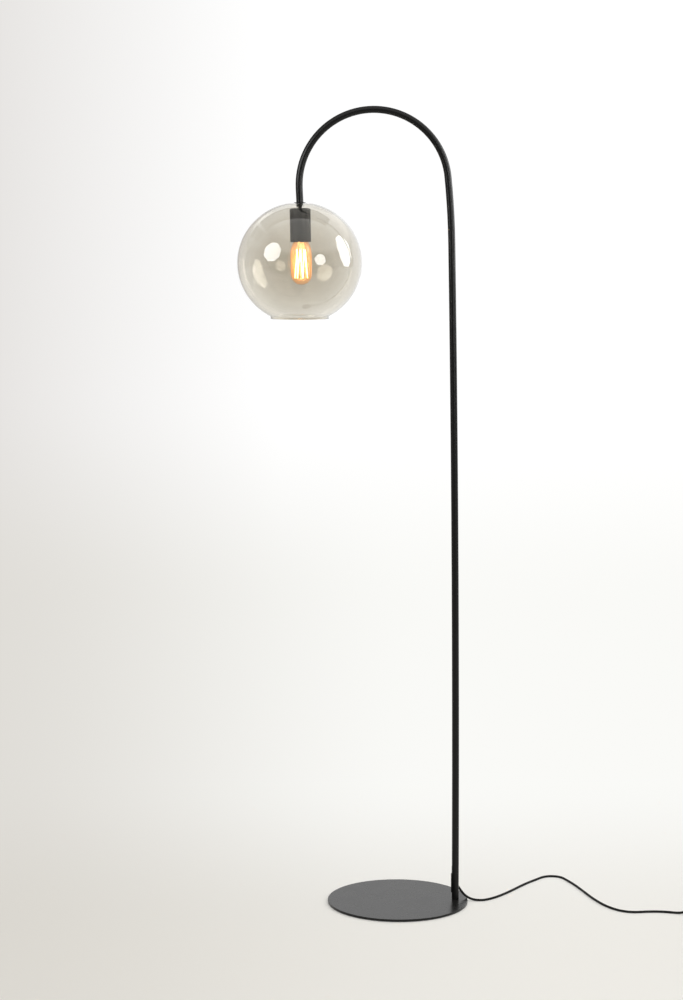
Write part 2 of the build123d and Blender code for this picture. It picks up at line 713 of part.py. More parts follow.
def switch_spring():
    low = SWITCH_WALL + SPRING_WIRE / 2
    rise = BUTTON_UNDERSIDE - SPRING_WIRE / 2 - low
    half_turns = 2 * SPRING_TURNS
    slope = rise / SPRING_TURNS / (2 * pi * SPRING_RADIUS)
    places, ways = [], []
    for k in range(half_turns + 1):
        side = 1 if k % 2 == 0 else -1
        places.append(Vector(side * SPRING_RADIUS, 0, low + rise * k / half_turns))
        ways.append(Vector(0, side, slope).normalized())
    edges = []
    for k in range(half_turns):
        edges += biarc(places[k], ways[k], places[k + 1], ways[k + 1])
    path = Wire(edges)
    gap = least_gap(path, SPRING_WIRE, 0.7)
    solid = swept(path, SPRING_WIRE / 2)
    report_sweep("switch_spring", solid, path.length, SPRING_WIRE / 2, f"least gap {gap:.2f}")
    return AT_SWITCH * solid


def switch_screws():
    screw = outline((0, 0.4), (2.4, 0.4), (1.05, 2.0), (1.05, 12.5), (0, 12.5))
    screw -= Pos(0, 0, 0.6) * Box(3.4, 0.6, 0.8)
    return AT_SWITCH * group(*[Pos(x, y, 0) * screw for x, y in SCREW_PLACES])


def switch_sleeves():
    """The two tapered strain reliefs, each with a flange inside the case."""
    end = SWITCH_LENGTH / 2
    half = outline(
        (0, end - 4.0), (5.0, end - 4.0), (5.0, end - 2.1), (3.9, end - 2.1), (3.9, end),
        (4.6, end), (4.3, end + 3.0), (3.1, end + SLEEVE_LENGTH), (0, end + SLEEVE_LENGTH),
    )
    pair = [Pos(0, 0, SWITCH_PARTING) * Rot(0, turn, 0) * half for turn in (90, -90)]
    return AT_SWITCH * group(*pair)


def switch_cores():
    """One core runs through the switch and the other is cut and ends at the two contacts."""
    z = SWITCH_PARTING
    half = [(0, 12.2, z), (13, 10.8, z), (26, 2.2, z), (29, 1.2, z), (32, 1.2, z)]
    through = [(-x, y, z) for x, y, z in reversed(half[1:])] + half
    pieces = [swept(rounded_route(through), 1.0)]
    for side in (-1, 1):
        short = [(32, -1.2, z), (29, -1.2, z), (20, -5.6, 5.8), (15, CONTACT_Y, 4.0), (11, CONTACT_Y, 4.0)]
        short = [(side * x, y, z) for x, y, z in short]
        pieces.append(swept(rounded_route(short), 1.0))
    return AT_SWITCH * group(*pieces)


# ---- Cord stretches, coil and plug ------------------------------------------------------------
def cord_run():
    return laid_cord("cord_run", CORD_ROUTE)


def cord_lead():
    return laid_cord("cord_lead", LEAD_ROUTE)


def cord_tail():
    return laid_cord("cord_tail", TAIL_ROUTE)


def cord_coil():
    """Two layers of turns: in along the floor, up in the innermost half turn, and out again above."""
    places, ways = [], []
    last = 2 * COIL_HALF_TURNS + 1
    for k in range(last + 1):
        side = 1 if k % 2 else -1
        radius = COIL_RADIUS - min(k, last - k) * COIL_PITCH / 2
        z = COIL_LOW if k <= COIL_HALF_TURNS else COIL_HIGH
        places.append(Vector(COIL_X, COIL_Y + side * radius, z))
        ways.append(Vector(-side, 0, 0))
    edges = [Line(places[0] - ways[0] * CORD, places[0])]
    for k in range(len(places) - 1):
        edges += biarc(places[k], ways[k], places[k + 1], ways[k + 1])
    edges.append(Line(places[-1], places[-1] + ways[-1] * CORD))
    path = Wire(edges)
    solid = swept(path, CORD / 2)
    report_sweep("cord_coil", solid, path.length, CORD / 2, f"least gap {least_gap(path, CORD):.2f}")
    return solid


def cord_tie():
    """A flat strap round all the turns on the coil's far side."""
    low, high = COIL_RADIUS - 19.8, COIL_RADIUS + 1.3
    height = COIL_HIGH + FLOOR + 0.4
    wide, tall = high - low + 2 * TIE_THICKNESS, height + TIE_THICKNESS
    band = RectangleRounded(wide, tall, 2.2)
    band -= RectangleRounded(wide - 2 * TIE_THICKNESS, tall - 2 * TIE_THICKNESS, 2.2 - TIE_THICKNESS)
    middle = (COIL_X + (low + high) / 2, COIL_Y + TIE_WIDTH / 2, tall / 2)
    return Plane(origin=middle, z_dir=(0, -1, 0), x_dir=(1, 0, 0)) * extrude(band, TIE_WIDTH)


def plug_body():
    """A flat two-pin plug with a tapered sleeve at its back."""
    face_x = PLUG_X - SLEEVE_LENGTH - PLUG_BODY
    sections = []
    for x, wide, high in (
        (face_x, PLUG_WIDTH, PLUG_HEIGHT),
        (face_x + 16, PLUG_WIDTH, PLUG_HEIGHT),
        (face_x + PLUG_BODY, 13.0, 10.4),
    ):
        plane = Plane(origin=(x, COIL_EXIT_Y, PLUG_HEIGHT / 2), x_dir=(0, 1, 0), z_dir=(1, 0, 0))
        sections.append(plane * RectangleRounded(wide, high, 4.0))
    body = loft(sections[:2], ruled=True) + loft(sections[1:], ruled=True)
    back = (PLUG_X - SLEEVE_LENGTH, COIL_EXIT_Y, PLUG_HEIGHT / 2)
    return body + frustum(back, (PLUG_X, COIL_EXIT_Y, PLUG_HEIGHT / 2), 4.6, 3.1)


def plug_pins():
    face_x = PLUG_X - SLEEVE_LENGTH - PLUG_BODY
    pins = []
    for side in (-1, 1):
        pin = fillet(rod(PIN_DIAMETER / 2, 0, PIN_LENGTH).edges().group_by(Axis.Z)[-1], 1.4)
        y = COIL_EXIT_Y + side * PIN_SPACING / 2
        pins.append(Pos(face_x, y, PLUG_HEIGHT / 2) * Rot(0, -90, 0) * pin)
    return group(*pins)


# ---- Export -----------------------------------------------------------------------------------
PARTS = [
    base_felt, base_plate, base_screw, pole_foot, pole_lower, pole_joint_lower, pole_middle,
    pole_joint_upper, arch_tube, arch_insert, cord_outlet, outlet_screw, inner_lead,
    threaded_nipple, top_washer, upper_gasket, glass_globe, lower_gasket, clamp_nut,
    holder_cup, holder_nuts, holder_bracket, bracket_screws, holder_body, screw_shell,
    centre_contact, terminal_screws, core_line, core_neutral, holder_ring,
    bulb_cap, bulb_insulator, bulb_contact, bulb_glass, bulb_stem, bulb_supports, bulb_filament,
    switch_base, switch_cover, switch_button, switch_bridge, switch_contacts, switch_spring,
    switch_screws, switch_sleeves, switch_cores,
    cord_run, cord_lead, cord_coil, cord_tie, cord_tail, plug_body, plug_pins,
]

os.makedirs("parts", exist_ok=True)
for make in PARTS:
    export_step(make(), f"parts/{make.__name__}.step")

head_axis = head_point(1) - head_point(0)
print("tube end", tuple(TUBE_END), "head axis", tuple(head_axis), "bulb tip", tuple(head_point(BULB_TIP)))
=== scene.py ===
"""Looks for an arched floor lamp whose smoked glass globe hangs from the arch's end."""

import json
import logging
import math
from dataclasses import dataclass, field
from enum import Enum

import bpy
import numpy as np
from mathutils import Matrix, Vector


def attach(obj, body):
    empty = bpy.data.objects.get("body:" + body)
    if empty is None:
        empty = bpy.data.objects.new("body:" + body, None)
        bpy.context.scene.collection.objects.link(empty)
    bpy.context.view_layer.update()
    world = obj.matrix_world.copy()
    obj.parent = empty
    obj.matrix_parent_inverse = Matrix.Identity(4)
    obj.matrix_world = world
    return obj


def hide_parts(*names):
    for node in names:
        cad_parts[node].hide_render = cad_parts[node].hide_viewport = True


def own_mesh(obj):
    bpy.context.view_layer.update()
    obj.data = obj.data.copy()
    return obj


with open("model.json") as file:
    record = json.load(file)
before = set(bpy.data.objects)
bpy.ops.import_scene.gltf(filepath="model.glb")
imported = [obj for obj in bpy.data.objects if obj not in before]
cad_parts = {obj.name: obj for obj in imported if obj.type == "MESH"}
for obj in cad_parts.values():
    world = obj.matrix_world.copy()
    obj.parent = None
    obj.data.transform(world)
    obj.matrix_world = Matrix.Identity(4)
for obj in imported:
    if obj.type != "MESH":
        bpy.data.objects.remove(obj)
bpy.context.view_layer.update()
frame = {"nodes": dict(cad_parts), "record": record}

log = logging.getLogger("globe_floor_lamp")
Array = np.ndarray
Point = tuple[float, float, float]
Span = tuple[float, float]
Socket = bpy.types.NodeSocket
MM = 0.001

# Where the photograph was taken, in metres.
VIEWPOINT: Point = (-0.120571, -4.9, 1.45624)

# The globe's middle, in millimetres.
GLOBE_X = -208.2
GLOBE_Z = 1368.7

# The foot switch, in metres: its middle, and the height where its two halves meet.
SWITCH_Y = -0.092
PARTING = 0.0075

# The cord's route, in metres, as the model lays it from the outlet to the foot switch.
FLOOR = 0.0026
RUN_ROUTE: list[Point] = [
    (0.1273, 0.0104, 0.0352),
    (0.1350, 0.0095, 0.0236),
    (0.1440, 0.0076, 0.0126),
    (0.1564, 0.0049, 0.0051),
    (0.1700, 0.0029, FLOOR),
    (0.1865, 0.0032, FLOOR),
    (0.2025, 0.0150, FLOOR),
    (0.2200, 0.0330, FLOOR),
    (0.2395, 0.0590, FLOOR),
    (0.2570, 0.0850, FLOOR),
    (0.2745, 0.1125, FLOOR),
    (0.2920, 0.1370, FLOOR),
    (0.3095, 0.1585, FLOOR),
    (0.3270, 0.1805, FLOOR),
    (0.3420, 0.1875, FLOOR),
    (0.3580, 0.1855, FLOOR),
    (0.3703, 0.1755, FLOOR),
    (0.3800, 0.1510, FLOOR),
    (0.3895, 0.1260, FLOOR),
    (0.3980, 0.0980, FLOOR),
    (0.4065, 0.0680, FLOOR),
    (0.4155, 0.0340, FLOOR),
    (0.4255, 0.0020, FLOOR),
    (0.4370, -0.0280, FLOOR),
    (0.4520, -0.0555, FLOOR),
    (0.4715, -0.0770, FLOOR),
    (0.4960, -0.0860, FLOOR),
    (0.5215, -0.0815, FLOOR),
    (0.5480, -0.0800, FLOOR),
    (0.5700, -0.0840, FLOOR),
    (0.5860, -0.0900, FLOOR),
    (0.5980, SWITCH_Y, 0.0036),
    (0.6090, SWITCH_Y, PARTING),
    (0.6200, SWITCH_Y, PARTING),
]


class Body(Enum):
    """The moving bodies that pieces ride on."""

    STAND = "stand"
    BULB = "bulb"


# ---- Materials ------------------------------------------------------------------------------

# A colour mix node's two colours and its result, which share their names with the node's other kinds.
MIX_LOW = 6
MIX_HIGH = 7
MIX_RESULT = 2
# The part of a noise pattern's range that most of its values lie in.
NOISE_MIDDLE: Span = (0.3, 0.7)


class Nodes:
    """The nodes of a material or of the world, and short calls to extend them."""

    def __init__(self, tree: bpy.types.NodeTree) -> None:
        """Takes the tree that the nodes go into."""
        self.tree = tree

    def node(self, kind: str, **values: object) -> bpy.types.Node:
        """Adds a node and sets its properties, or its inputs where it has no such property.

        Args:
            kind: The node's type, without its common prefix.
            values: Properties or inputs; an underscore in an input's name stands for a space.

        Returns:
            The new node.
        """
        made = self.tree.nodes.new("ShaderNode" + kind)
        for name, value in values.items():
            if hasattr(made, name):
                setattr(made, name, value)
            else:
                made.inputs[name.replace("_", " ")].default_value = value
        return made

    def join(self, source: Socket, target: Socket) -> None:
        """Joins an output to an input."""
        self.tree.links.new(source, target)

    def apart(self, vector: Socket) -> tuple[Socket, Socket, Socket]:
        """Takes a vector's three parts."""
        split = self.node("SeparateXYZ")
        self.join(vector, split.inputs["Vector"])
        return split.outputs["X"], split.outputs["Y"], split.outputs["Z"]

    def number(self, operation: str, first: float | Socket, second: float | Socket) -> Socket:
        """Works out a number from two others, each a plain number or a node's output."""
        made = self.node("Math", operation=operation)
        for socket, value in zip(made.inputs, (first, second)):
            if isinstance(value, float):
                socket.default_value = value
            else:
                self.join(value, socket)
        return made.outputs["Value"]

    def product(self, first: Socket, *others: float | Socket) -> Socket:
        """Multiplies a node's output by others, or by plain numbers."""
        for other in others:
            first = self.number("MULTIPLY", first, other)
        return first

    def ramp(self, value: Socket, span: Span, kind: str = "SMOOTHSTEP", ends: Span = (0.0, 1.0)) -> Socket:
        """Gives a value that runs from one number to another while the given one crosses a span.

        Args:
            value: The output that steers it.
            span: Where it starts and where it ends; the second may be the smaller.
            kind: How it eases between them.
            ends: The numbers it runs between.

        Returns:
            The new value's output.
        """
        made = self.node("MapRange", interpolation_type=kind)
        for name, number in zip(("From Min", "From Max", "To Min", "To Max"), span + ends):
            made.inputs[name].default_value = number
        self.join(value, made.inputs["Value"])
        return made.outputs["Result"]

    def blend(self, share: Socket, low: Point | Socket, high: Point | Socket) -> Socket:
        """Mixes two colours, each a tone or another node's output, by a share from 0 to 1."""
        mix = self.node("Mix", data_type="RGBA")
        for place, colour in ((MIX_LOW, low), (MIX_HIGH, high)):
            if isinstance(colour, tuple):
                mix.inputs[place].default_value = (*colour, 1.0)
            else:
                self.join(colour, mix.inputs[place])
        self.join(share, mix.inputs["Factor"])
        return mix.outputs[MIX_RESULT]


class Recipe(Nodes):
    """A material under construction: its principled shader and the patterns that steer it."""

    def __init__(self, name: str) -> None:
        """Starts a node material with its principled shader.

        Args:
            name: The material's name.
        """
        self.material = bpy.data.materials.new(name)
        self.material.use_nodes = True
        super().__init__(self.material.node_tree)
        self.shader = self.tree.nodes["Principled BSDF"]

    def set(self, **sockets: object) -> None:
        """Sets the shader's own sockets; an underscore in a name stands for a space."""
        for name, value in sockets.items():
            self.shader.inputs[name.replace("_", " ")].default_value = value

    def steer(self, name: str, value: Socket) -> None:
        """Lets a node's output steer one of the shader's sockets."""
        self.join(value, self.shader.inputs[name])

    def place(self, stretch: Point = (1.0, 1.0, 1.0)) -> Socket:
        """Returns the surface's own coordinates, scaled along each axis."""
        coordinates = self.node("TexCoord")
        mapping = self.node("Mapping")
        mapping.inputs["Scale"].default_value = stretch
        self.join(coordinates.outputs["Object"], mapping.inputs["Vector"])
        return mapping.outputs["Vector"]

    def noise(self, scale: float, detail: float = 3.0, stretch: Point = (1.0, 1.0, 1.0)) -> Socket:
        """Returns a noise pattern's value.

        Args:
            scale: The pattern's features per metre.
            detail: The number of finer octaves.
            stretch: The scale along each axis.

        Returns:
            The noise value's output, about 0.5 in the mean.
        """
        made = self.node("TexNoise", Scale=scale, Detail=detail)
        self.join(self.place(stretch), made.inputs["Vector"])
        return made.outputs["Fac"]

    def colour(self, value: Socket, low: Point, high: Point) -> None:
        """Colours the shader between two tones by a value."""
        self.steer("Base Color", self.blend(value, low, high))

    def gloss(self, noise: Socket, roughness: Span) -> None:
        """Lets the roughness wander between two values by a noise."""
        self.steer("Roughness", self.ramp(noise, NOISE_MIDDLE, "LINEAR", roughness))

    def relief(self, value: Socket, depth: float) -> None:
        """Raises the surface by a value from 0 to 1, to a depth in metres."""
        bump = self.node("Bump", Strength=1.0, Distance=depth)
        self.join(value, bump.inputs["Height"])
        self.steer("Normal", bump.outputs["Normal"])


def darkened(colour: Point, share: float) -> Point:
    """Takes a colour down to a share of its brightness."""
    return tuple(channel * share for channel in colour)


@dataclass(frozen=True)
class Coating:
    """Lacquer or powder on metal: an even tone, a faint orange peel, and a gloss that varies a little."""

    name: str
    tone: float
    roughness: Span
    peel: float
    peel_scale: float
    refraction: float = 1.4
    warmth: float = 0.0
    cloud_scale: float = 9.0
    gloss_scale: float = 24.0
    tone_range: Span = (0.9, 1.12)

    def material(self) -> bpy.types.Material:
        """Builds the coating's material."""
        made = Recipe(self.name)
        colour = (self.tone, self.tone, self.tone * (1 - self.warmth))
        low, high = (darkened(colour, share) for share in self.tone_range)
        made.colour(made.noise(self.cloud_scale), low, high)
        made.gloss(made.noise(self.gloss_scale, 4.0), self.roughness)
        made.relief(made.noise(self.peel_scale, 2.0), self.peel)
        made.set(IOR=self.refraction)
        return made.material


@dataclass(frozen=True)
class BareMetal:
    """Plated or bare metal with drawn lines and a worn, uneven polish."""

    name: str
    colour: Point
    roughness: Span
    lines: Point = (60.0, 60.0, 900.0)
    line_depth: float = 0.00002
    dull_share: float = 0.82
    stain_scale: float = 60.0
    gloss_scale: float = 140.0

    def material(self) -> bpy.types.Material:
        """Builds the metal's material."""
        made = Recipe(self.name)
        made.colour(made.noise(self.stain_scale, 4.0), darkened(self.colour, self.dull_share), self.colour)
        made.gloss(made.noise(self.gloss_scale), self.roughness)
        made.relief(made.noise(1.0, 2.0, self.lines), self.line_depth)
        made.set(Metallic=1.0)
        return made.material


@dataclass(frozen=True)
class Moulded:
    """Moulded plastic, rubber or glazed ceramic: an even colour and a fine spark-eroded grain."""

    name: str
    colour: Point
    roughness: Span
    grain: float
    grain_scale: float = 2600.0
    clearness: float = 0.0
    refraction: float = 1.45
    dark_share: float = 0.9
    cloud_scale: float = 35.0
    gloss_scale: float = 90.0

    def material(self) -> bpy.types.Material:
        """Builds the moulding's material."""
        made = Recipe(self.name)
        made.colour(made.noise(self.cloud_scale), darkened(self.colour, self.dark_share), self.colour)
        made.gloss(made.noise(self.gloss_scale), self.roughness)
        made.relief(made.noise(self.grain_scale, 1.0), self.grain)
        made.set(Transmission_Weight=self.clearness, IOR=self.refraction)
        return made.material


@dataclass(frozen=True)
class Felt:
    """Pressed wool felt: tangled fibres and a soft sheen."""

    name: str
    colour: Point
    fibre_scale: float = 1400.0
    fibre_depth: float = 0.0004
    dark_share: float = 0.5

    def material(self) -> bpy.types.Material:
        """Builds the felt's material."""
        made = Recipe(self.name)
        fibres = made.noise(self.fibre_scale, 5.0)
        made.colour(fibres, darkened(self.colour, self.dark_share), self.colour)
        made.relief(fibres, self.fibre_depth)
        made.set(Roughness=0.95, Sheen_Weight=0.4)
        return made.material


@dataclass(frozen=True)
class ClearGlass:
    """Glass with its own tint, faint waves from the blowing, and a painted glow: light that the glass gives
    out itself for the haze of a hot filament behind it.

    The crown is the top of a globe, between two heights, whose edge takes a tint of its own. The painted glow
    starts at the first of its heights, is full at the second, and ends at the third. Heights are in metres.
    """

    name: str
    tint: Point
    edge_tint: Point
    falloff: float = 0.35
    wave: float = 0.0
    wave_scale: float = 6.0
    crown: Span = (0.0, 0.0)
    crown_edge: Span = (0.8, 0.88)
    crown_tint: Point = (0.0, 0.0, 0.0)
    glow: Point = (0.0, 0.0, 0.0)
    painted_glow_heights: Point = (0.0, 0.0, 0.0)
    refraction: float = 1.5

    def material(self) -> bpy.types.Material:
        """Builds the glass's material."""
        made = Recipe(self.name)
        edge = made.node("LayerWeight", Blend=self.falloff).outputs["Facing"]
        height = made.apart(made.place())[2]
        colour = made.blend(edge, self.tint, self.edge_tint)
        if any(self.crown):
            share = made.product(made.ramp(edge, self.crown_edge), made.ramp(height, self.crown))
            colour = made.blend(share, colour, self.crown_tint)
        made.steer("Base Color", colour)
        if self.wave:
            made.relief(made.noise(self.wave_scale, 2.0), self.wave)
        # Painted glow: the glass gives out light itself, fullest at the middle height.
        if any(self.glow):
            low, middle, high = self.painted_glow_heights
            haze = made.product(made.ramp(height, (low, middle)), made.ramp(height, (high, middle)))
            made.steer("Emission Strength", haze)
            made.set(Emission_Color=(*self.glow, 1.0))
        made.set(Transmission_Weight=1.0, IOR=self.refraction, Roughness=0.0)
        return made.material


@dataclass(frozen=True)
class Glow:
    """A hot filament: it gives out light, whiter where it is hottest."""

    name: str
    cool: Point
    hot: Point
    strength: float
    heat_scale: float = 60.0
    heat: Span = (0.2, 1.0)
    ash: Point = (0.02, 0.015, 0.01)

    def material(self) -> bpy.types.Material:
        """Builds the filament's material."""
        made = Recipe(self.name)
        share = made.ramp(made.noise(self.heat_scale), NOISE_MIDDLE, "LINEAR", self.heat)
        made.steer("Emission Color", made.blend(share, self.cool, self.hot))
        made.set(Base_Color=(*self.ash, 1.0), Emission_Strength=self.strength)
        return made.material


# Every finish on the lamp, by the record's material slot.
FINISHES = {
    "base_felt": Felt("felt_black", (0.035, 0.034, 0.033)),
    "base_black": Coating("powder_coat_base", 0.009, (0.26, 0.285), 4e-7, 900.0, 1.32),
    "satin_black": Coating("satin_black_lacquer", 0.003, (0.32, 0.38), 5e-7, 500.0, 1.33, 0.05),
    "zinc_steel": BareMetal("bright_zinc", (0.62, 0.62, 0.63), (0.22, 0.38)),
    "black_screw": BareMetal("blackened_steel", (0.06, 0.058, 0.055), (0.35, 0.5)),
    "silicone": Moulded("clear_silicone", (0.82, 0.82, 0.80), (0.3, 0.45), 0.00001, clearness=0.6),
    "smoked_glass": ClearGlass(
        "smoked_glass",
        (0.649, 0.614, 0.539),
        (1.0, 0.99, 0.96),
        falloff=0.7,
        wave=0.00006,
        crown=(1.465, 1.478),
        crown_tint=(0.60, 0.59, 0.55),
    ),
    "porcelain": Moulded("glazed_porcelain", (0.86, 0.84, 0.79), (0.12, 0.2), 0.00003, 120.0),
    "brass": BareMetal("bare_brass", (0.80, 0.61, 0.30), (0.2, 0.35)),
    "steel_screw": BareMetal("plain_steel", (0.58, 0.58, 0.58), (0.25, 0.4)),
    "holder_ring": Moulded("black_holder_ring", (0.025, 0.025, 0.025), (0.4, 0.5), 0.00001),
    "core_brown": Moulded("brown_insulation", (0.14, 0.06, 0.03), (0.3, 0.4), 0.00001),
    "core_blue": Moulded("blue_insulation", (0.04, 0.12, 0.36), (0.3, 0.4), 0.00001),
    "flex": Moulded("black_flex", (0.006, 0.0055, 0.005), (0.5, 0.6), 0.000004, 900.0, refraction=1.25),
    "bulb_cap": BareMetal("aluminium_cap", (0.82, 0.81, 0.78), (0.2, 0.32)),
    "bulb_insulator": Moulded("black_vitrite", (0.02, 0.02, 0.025), (0.06, 0.12), 0.00002, 300.0),
    "solder": BareMetal("solder", (0.7, 0.7, 0.68), (0.3, 0.45)),
    # The bulb's glass and its stem give out a painted glow for the hot filament's light in them.
    "bulb_glass": ClearGlass(
        "bulb_glass",
        (1.0, 0.84, 0.64),
        (1.0, 0.70, 0.42),
        glow=(0.34, 0.15, 0.06),
        painted_glow_heights=(1.31, 1.372, 1.435),
    ),
    "bulb_stem": ClearGlass(
        "pressed_stem_glass",
        (0.97, 0.95, 0.9),
        (0.9, 0.85, 0.78),
        glow=(2.2, 1.5, 0.7),
        painted_glow_heights=(1.315, 1.37, 1.43),
    ),
    "support_wire": BareMetal("support_wire", (0.5, 0.47, 0.42), (0.3, 0.45)),
    "filament": Glow("glowing_filament", (1.0, 0.52, 0.15), (1.0, 0.78, 0.42), 260.0),
    "switch_black": Moulded("black_housing", (0.022, 0.022, 0.022), (0.42, 0.55), 0.00003, 1800.0),
    "button_black": Moulded("polished_button", (0.02, 0.02, 0.02), (0.12, 0.2), 0.000005),
    "plug_pins": BareMetal("nickel_plate", (0.74, 0.71, 0.64), (0.14, 0.26)),
}


# ---- Surfaces -------------------------------------------------------------------------------


def grid_faces(rows: int, columns: int, round_rows: bool, round_columns: bool) -> Array:
    """Lists the four-sided faces of a grid of points.

    Args:
        rows: The number of rows of points.
        columns: The number of points in a row.
        round_rows: Whether the last row joins the first.
        round_columns: Whether the last point of a row joins the first.

    Returns:
        The faces as rows of four point numbers.
    """
    row = np.arange(rows if round_rows else rows - 1)
    column = np.arange(columns if round_columns else columns - 1)
    r, c = np.meshgrid(row, column, indexing="ij")
    r_next, c_next = (r + 1) % rows, (c + 1) % columns
    corners = [r * columns + c, r * columns + c_next, r_next * columns + c_next, r_next * columns + c]
    return np.stack(corners, -1).reshape(-1, 4)


def make_mesh(name: str, points: Array, faces: list, material: bpy.types.Material) -> bpy.types.Object:
    """Makes a smooth mesh object.

    Args:
        name: The object's name.
        points: The points, in metres, with their three numbers along the last axis.
        faces: The faces, as point numbers, facing outwards.
        material: The object's finish.

    Returns:
        The new object.
    """
    mesh = bpy.data.meshes.new(name)
    mesh.from_pydata(points.reshape(-1, 3).tolist(), [], faces)
    mesh.polygons.foreach_set("use_smooth", np.ones(len(mesh.polygons), bool))
    mesh.materials.append(material)
    mesh.update()
    made = bpy.data.objects.new(name, mesh)
    bpy.context.scene.collection.objects.link(made)
    log.info("%s: %d faces", name, len(mesh.polygons))
    return made


def make_piece(
    name: str, points: Array, faces: list, material: bpy.types.Material, body: Body
) -> bpy.types.Object:
    """Makes a smooth mesh piece that rides on a body.

    Args:
        name: The piece's name.
        points: The points, in metres, with their three numbers along the last axis.
        faces: The faces, as point numbers, facing outwards.
        material: The piece's finish.
        body: The body that it moves with.

    Returns:
        The new object.
    """
    made = make_mesh(name, points, faces, material)
    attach(made, body.value)
    return made


def turned(profile: Array, sides: int, axis_point: Point) -> tuple[Array, Array]:
    """Turns a closed profile about an upright axis: point (r, h) at angle a goes to (r cos a, r sin a, h).

    Args:
        profile: Radii and heights, one row each, in an order that keeps the material on the left.
        sides: The number of steps round the axis.
        axis_point: Where the profile's zero lies.

    Returns:
        The points and the faces.
    """
    angle = np.linspace(0, 2 * np.pi, sides, endpoint=False)[:, None]
    radius, height = profile[None, :, 0], profile[None, :, 1]
    points = np.stack([radius * np.cos(angle), radius * np.sin(angle), height + 0 * angle], -1)
    return points + np.array(axis_point), grid_faces(sides, len(profile), True, True)


def carried(path: Array, section: Array) -> tuple[Array, list]:
    """Carries a closed section along a path: each ring stands square to the path, with one axis kept level.

    Args:
        path: The path's points.
        section: The section's points, level and upright offsets, one row each.

    Returns:
        The points and the faces, with both ends closed.
    """
    way = np.gradient(path, axis=0)
    way /= np.linalg.norm(way, axis=1, keepdims=True)
    flat = way[:, :2]
    heading = np.unwrap(np.arctan2(flat[:, 1], flat[:, 0]))
    side = np.stack([-np.sin(heading), np.cos(heading), 0 * heading], -1)
    up = np.cross(way, side)
    points = path[:, None] + section[None, :, :1] * side[:, None] + section[None, :, 1:] * up[:, None]
    sides = len(section)
    faces = grid_faces(len(path), sides, False, True)[:, ::-1].tolist()
    faces.append(list(range(sides)))
    faces.append(list(range(len(path) * sides - 1, (len(path) - 1) * sides - 1, -1)))
    return points, faces


# ---- Globe ----------------------------------------------------------------------------------


@dataclass
class Globe:
    """The blown globe, open below at a short straight lip, and clamped at the top. Sizes are in millimetres.

    The wall of its top hole comes in by the first part of the waist, at the height of the second above its
    lower edge.
    """

    x: float = GLOBE_X
    z: float = GLOBE_Z
    radius: float = 130.8
    half_height: float = 126.6
    wall: float = 2.2
    hole: float = 6.5
    waist: Span = (0.15, 0.5)
    seat_z: float = 1492.6
    mouth: float = 61.2
    lip_z: float = 1252.0
    sides: int = 192
    arc_steps: int = 150
    rim_steps: int = 13

    def arc(self, inset: float, start: float, end: float) -> Array:
        """Gives the part of a face's ellipse between a radius above its middle and a radius below it.

        Args:
            inset: How far the ellipse lies inside the globe's outer face.
            start: The upper end's radius.
            end: The lower end's radius.

        Returns:
            Radii and heights above the globe's middle, one row each.
        """
        wide = self.radius - inset
        high = self.half_height - inset
        angle = np.linspace(math.acos(start / wide), -math.acos(end / wide), self.arc_steps)
        return np.stack([wide * np.cos(angle), high * np.sin(angle)], -1)

    def flat_radius(self, inset: float, height: float) -> float:
        """Gives the radius at which an ellipse reaches a height above the globe's middle."""
        return (self.radius - inset) * math.sqrt(1 - (height / (self.half_height - inset)) ** 2)

    def profile(self) -> Array:
        """Gives the wall's outline: one ellipse outside and one inside, joined by the lip and the seat.

        Returns:
            The closed outline as radii and heights, in millimetres.
        """
        seat = self.seat_z - self.z
        lip = self.lip_z - self.z
        under = seat - self.wall
        outer = self.arc(0.0, self.flat_radius(0.0, seat), self.mouth)
        inner = self.arc(self.wall, self.flat_radius(self.wall, under), self.mouth - self.wall)[::-1]
        angle = np.linspace(0, -np.pi, self.rim_steps)
        half = self.wall / 2
        rim = np.stack([self.mouth - half + half * np.cos(angle), lip + half + half * np.sin(angle)], -1)
        inward, upward = self.waist
        hole = np.array([[self.hole, under], [self.hole - inward, under + upward], [self.hole, seat]])
        return np.concatenate([outer, rim, inner, hole])

    def build(self, materials: dict[str, bpy.types.Material]) -> None:
        """Makes the globe."""
        slot = "smoked_glass"
        points, faces = turned(self.profile(), self.sides, (self.x, 0.0, self.z))
        made = make_piece("globe_wall", points * MM, faces.tolist(), materials[slot], Body.STAND)
        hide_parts("glass_globe")


# ---- Bulb -----------------------------------------------------------------------------------


